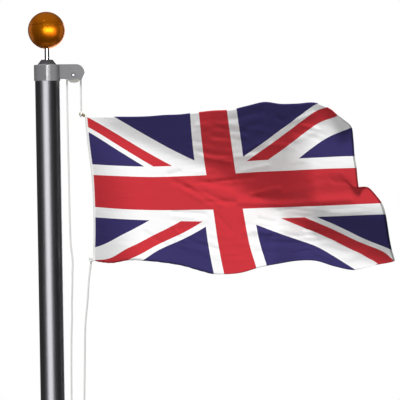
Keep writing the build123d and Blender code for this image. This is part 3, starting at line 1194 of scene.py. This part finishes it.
    def drawn(self, u: np.ndarray, v: np.ndarray) -> np.ndarray:
        """Return where places lie in the view, with the head and the foot drawn to their lines.

        Args:
            u: shares of the fly.
            v: shares of the hoist from the head.

        Returns:
            Shares across and down, a row for each place.
        """
        wide = basis(len(self.x_shares[0]), u)
        tables = [np.array(self.x_shares), np.array(self.z_shares)]
        lie = np.stack([((basis(len(t), v) @ t) * wide).sum(axis=1) for t in tables], axis=1)
        for line, row, away in ((self.head_line, 0, v), (self.foot_line, -1, 1 - v)):
            edge = np.stack([wide @ t[row] for t in tables], axis=1)
            pull = ease(1 - away / self.edge_reach)
            lie = lie + pull[:, None] * (along(line, u) - edge)
        return lie

    def flown(self, u: np.ndarray, v: np.ndarray) -> np.ndarray:
        """Return the places of the flying cloth, its foot turned back where it curls near the hoist.

        Args:
            u: shares of the fly.
            v: shares of the hoist from the head.

        Returns:
            Places, a row for each.
        """
        turn = along(self.turn_line, u)
        run = np.clip((v - self.curl_from) / (turn - self.curl_from), 0.0, 1.0)
        seen = np.minimum(v + (1 - turn) * run**2, 1.0)
        edge = along(self.fly_line, np.linspace(0.0, 1.0, self.edge_reads))
        fly = np.stack([np.interp(seen, edge[:, 0], edge[:, i]) for i in (1, 2, 3)], axis=1)
        start = self.fly_from + self.notch_later * np.exp(-(((seen - self.notch_v) / self.notch_half) ** 2))
        pull = ease((u - start) / (1 - start))[:, None]
        shift = pull * (fly[:, :2] - self.drawn(np.ones_like(u), seen))
        lie = self.drawn(u, seen) + shift
        out = self.depth(u + shift[:, 0], seen + shift[:, 1]) + pull[:, 0] * fly[:, 2] * self.fly
        eye = np.array(self.sight)
        across, down = self.head_x + self.fly * lie[:, 0], self.head_z - self.hoist * lie[:, 1]
        flat = np.stack([across, np.zeros_like(out), down], axis=1)
        places = eye + (flat - eye) * (1 - out / self.sight[1])[:, None]
        back = np.clip(v - turn, 0.0, 1.0) * self.hoist
        angle = np.minimum(back / self.turn_r, self.turn_most)
        rest = back - angle * self.turn_r
        places[:, 1] += self.turn_r * (1 - np.cos(angle)) + rest * np.sin(angle)
        places[:, 2] -= self.turn_r * np.sin(angle) + rest * np.cos(angle)
        return places

    def sewn(self) -> bpy.types.Object:
        """Cut the cloth along its panels, fly it and give it its thickness.

        Returns:
            The cloth.
        """
        wide, high = self.pattern.fly, self.pattern.hoist
        mesh = bmesh.new()
        bmesh.ops.create_grid(mesh, x_segments=self.columns, y_segments=self.rows, size=0.5)
        bmesh.ops.translate(mesh, verts=mesh.verts, vec=(0.5, 0.5, 0.0))
        bmesh.ops.scale(mesh, verts=mesh.verts, vec=(wide, high, 1.0))
        for place, normal in self.pattern.cuts():
            bmesh.ops.bisect_plane(
                mesh,
                geom=mesh.verts[:] + mesh.edges[:] + mesh.faces[:],
                dist=self.cut_near,
                plane_co=(*place, 0.0),
                plane_no=(*normal, 0.0),
            )
        bmesh.ops.dissolve_degenerate(mesh, edges=mesh.edges, dist=self.cut_least)
        chart = mesh.loops.layers.uv.new("flat")
        for face in mesh.faces:
            middle = face.calc_center_median()
            face.material_index = self.pattern.panel(middle.x, middle.y).value
            for loop in face.loops:
                a, b, _ = loop.vert.co
                loop[chart].uv = (a / wide * self.fly, b / high * self.hoist)
        cut = np.array([vert.co[:2] for vert in mesh.verts])
        for vert, place in zip(mesh.verts, self.flown(cut[:, 0] / wide, cut[:, 1] / high)):
            vert.co = place
        bmesh.ops.recalc_face_normals(mesh, faces=mesh.faces)
        cloth = shown("flag", mesh, *(BUNTING[panel] for panel in Panel))
        cloth.visible_glossy = False
        wall = cloth.modifiers.new("cloth_thickness", "SOLIDIFY")
        wall.thickness = self.thickness
        wall.offset = 0.0
        return cloth

    def heading(self) -> bpy.types.Object:
        """Make the roped edge along the hoist.

        Returns:
            The heading.
        """
        down = np.linspace(0.0, 1.0, self.heading_places)
        route = [tuple(place) for place in self.flown(np.zeros_like(down), down)]
        return cord("heading", route, self.heading_r, CANVAS)


@dataclass(frozen=True)
class Lamp:
    """A soft window lamp: its name, where it hangs, what it faces, its size and what it lights.

    It lights only the pieces in lit where there are any, and all but those in missed otherwise.
    """

    name: str
    place: Triple
    aim: Triple
    size: Pair
    power: float
    reach: Reach = Reach.ALL
    lit: tuple[str, ...] = ()
    missed: tuple[str, ...] = ()
    colour: Triple = (1.0, 1.0, 1.0)

    def hang(self) -> None:
        """Hang the lamp and link it to the pieces that it lights or misses."""
        data = bpy.data.lights.new(self.name, "AREA")
        data.shape = "RECTANGLE"
        data.size, data.size_y = self.size
        data.energy = self.power
        data.color = self.colour
        made = bpy.data.objects.new(self.name, data)
        made.location = self.place
        made.rotation_mode = "QUATERNION"
        made.rotation_quaternion = (Vector(self.aim) - Vector(self.place)).to_track_quat("-Z", "Y")
        made.visible_glossy = self.reach is not Reach.MATT
        made.visible_diffuse = self.reach is not Reach.GLOSS
        made.visible_camera = False
        bpy.context.scene.collection.objects.link(made)
        if self.lit or self.missed:
            group = bpy.data.collections.new(self.name)
            for piece in self.lit + self.missed:
                group.objects.link(bpy.data.objects[piece])
            for entry in group.collection_objects:
                entry.light_linking.link_state = "EXCLUDE" if self.missed else "INCLUDE"
            made.light_linking.receiver_collection = group


BALL_AIM: Triple = (0.0, 0.0, 3.07)
TRUCK_AIM: Triple = (0.0, 0.0, 2.99)
LAMPS = (
    Lamp(
        "front_window",
        place=(-0.45, -2.6, 2.95),
        aim=(0.0, 0.0, 2.95),
        size=(2.3, 2.2),
        power=24.0,
        reach=Reach.GLOSS,
        missed=("truck", "ball"),
    ),
    Lamp(
        "front_strip",
        place=(0.36, -2.55, 3.17),
        aim=(0.0, 0.0, 3.0),
        size=(0.8, 0.3),
        power=13.0,
        reach=Reach.GLOSS,
        lit=("truck", "finial_stem"),
    ),
    Lamp(
        "low_window",
        place=(-0.45, -2.6, 0.8),
        aim=(0.0, 0.0, 0.8),
        size=(2.3, 2.1),
        power=20.0,
        reach=Reach.GLOSS,
        lit=("lower_section", "middle_section", "upper_section", "base_shoe", "cleat"),
    ),
    Lamp(
        "ball_window",
        place=(0.9, -2.5, 3.0),
        aim=BALL_AIM,
        size=(3.0, 1.0),
        power=46.0,
        reach=Reach.GLOSS,
        lit=("ball",),
        colour=(0.7, 1.0, 0.5),
    ),
    Lamp(
        "ball_wall",
        place=(1.6, -2.4, 2.6),
        aim=BALL_AIM,
        size=(4.4, 2.6),
        power=36.0,
        reach=Reach.GLOSS,
        lit=("ball",),
        colour=(1.0, 0.7, 0.6),
    ),
    *(
        Lamp(
            f"ball_rim_{side}",
            place=(3.2 * side, 1.6, 3.0),
            aim=BALL_AIM,
            size=(2.4, 3.6),
            power=8.0,
            reach=Reach.GLOSS,
            lit=("ball",),
        )
        for side in (-1, 1)
    ),
    Lamp(
        "truck_strip",
        place=(1.2, -2.5, 3.0),
        aim=TRUCK_AIM,
        size=(0.6, 0.6),
        power=7.0,
        reach=Reach.GLOSS,
        lit=("truck",),
    ),
    Lamp(
        "truck_wall",
        place=(2.6, -1.2, 3.0),
        aim=TRUCK_AIM,
        size=(3.0, 1.6),
        power=15.0,
        reach=Reach.GLOSS,
        lit=("truck",),
    ),
    Lamp(
        "fill_window",
        place=(-0.5, -2.6, 2.4),
        aim=(0.1, 0.0, 2.4),
        size=(2.1, 2.4),
        power=18.0,
        reach=Reach.MATT,
    ),
    Lamp(
        "top_window",
        place=(-0.2, -2.1, 6.8),
        aim=(0.35, -0.1, 2.75),
        size=(1.6, 1.4),
        power=240.0,
        reach=Reach.MATT,
    ),
    Lamp(
        "rear_window",
        place=(0.3, 3.2, 2.2),
        aim=(0.1, 0.0, 2.2),
        size=(1.8, 3.2),
        power=45.0,
    ),
)


@dataclass
class Studio:
    """The pale floor, the curtain that reflections show, the soft light and the camera."""

    middle: Triple = (0.3138, 0.0, 2.7176)
    distance: float = 2.4
    eye_z: float = 2.8714
    width: float = 0.8320
    roll: float = 0.5
    sensor: float = 36.0
    floor_r: float = 4.5
    floor_sides: int = 96
    wall_r: float = 5.0
    wall_height: float = 8.0
    wall_sides: int = 72
    wall_sink: float = 0.01
    ceiling_share: float = 0.9
    rear_share: float = 0.3
    soft_light: float = 0.13
    white_light: float = 1.0

    def build(self) -> None:
        """Set up the floor, the world, the lamps and the camera."""
        self.floor()
        self.world()
        self.curtain()
        for lamp in LAMPS:
            lamp.hang()
        self.camera()
        bpy.context.scene.view_settings.view_transform = "Standard"

    def floor(self) -> None:
        """Lay the pale floor."""
        mesh = bmesh.new()
        bmesh.ops.create_circle(mesh, cap_ends=True, segments=self.floor_sides, radius=self.floor_r)
        made = shown("floor", mesh, PALE_FLOOR, smooth=False)
        made.visible_glossy = False

    def curtain(self) -> None:
        """Hang the dark studio walls and the paler ceiling that only reflections show."""
        mesh = bmesh.new()
        bmesh.ops.create_cone(
            mesh,
            cap_ends=True,
            segments=self.wall_sides,
            radius1=self.wall_r,
            radius2=self.wall_r,
            depth=self.wall_height,
        )
        bmesh.ops.translate(mesh, verts=mesh.verts, vec=(0.0, 0.0, self.wall_height / 2 - self.wall_sink))
        for face in mesh.faces:
            middle = face.calc_center_median()
            drape = Drape.REAR if middle.y > self.wall_r * self.rear_share else Drape.FRONT
            if middle.z > self.wall_height * self.ceiling_share:
                drape = Drape.CEILING
            face.material_index = drape.value
        made = shown("curtain", mesh, *(DRAPES[drape] for drape in Drape), smooth=False)
        made.visible_camera = False
        made.visible_diffuse = False
        made.visible_shadow = False

    def world(self) -> None:
        """Light the scene softly from all round, before a white background."""
        world = bpy.data.worlds.new("studio")
        bpy.context.scene.world = world
        world.use_nodes = True
        nodes = Nodes(world.node_tree)
        nodes.tree.nodes.clear()
        path = nodes.add("LightPath").outputs
        seen = path["Is Camera Ray"]
        for kind in ("Is Glossy Ray", "Is Transmission Ray"):
            seen = nodes.worked("MAXIMUM", seen, path[kind])
        mix = nodes.add("MixShader")
        nodes.feed(mix.inputs["Fac"], seen)
        for slot, strength in ((1, self.soft_light), (2, self.white_light)):
            light = nodes.add("Background")
            nodes.feed(light.inputs["Color"], (1.0, 1.0, 1.0, 1.0))
            nodes.feed(light.inputs["Strength"], strength)
            nodes.feed(mix.inputs[slot], light.outputs["Background"])
        nodes.feed(nodes.add("OutputWorld").inputs["Surface"], mix.outputs["Shader"])

    def camera(self) -> None:
        """Place the camera at the photograph's viewing angle."""
        data = bpy.data.cameras.new("camera")
        data.sensor_width = self.sensor
        data.lens = data.sensor_width * self.distance / self.width
        tilt = math.atan2(self.eye_z - self.middle[2], self.distance)
        made = bpy.data.objects.new("camera", data)
        made.location = (self.middle[0], -self.distance, self.eye_z)
        made.rotation_mode = "ZYX"
        made.rotation_euler = (math.pi / 2 - tilt, 0.0, -math.radians(self.roll))
        bpy.context.scene.collection.objects.link(made)
        bpy.context.scene.camera = made


def main() -> None:
    """Build every sub-assembly in order."""
    logging.basicConfig(level=logging.INFO, format="%(name)s: %(message)s")
    for assembly in (Mast(), Truck(), Finial(), Cleat(), Halyard(), Flag(), Studio()):
        assembly.build()
        LOG.info("built %s", type(assembly).__name__)


if __name__ == "__main__":
    main()
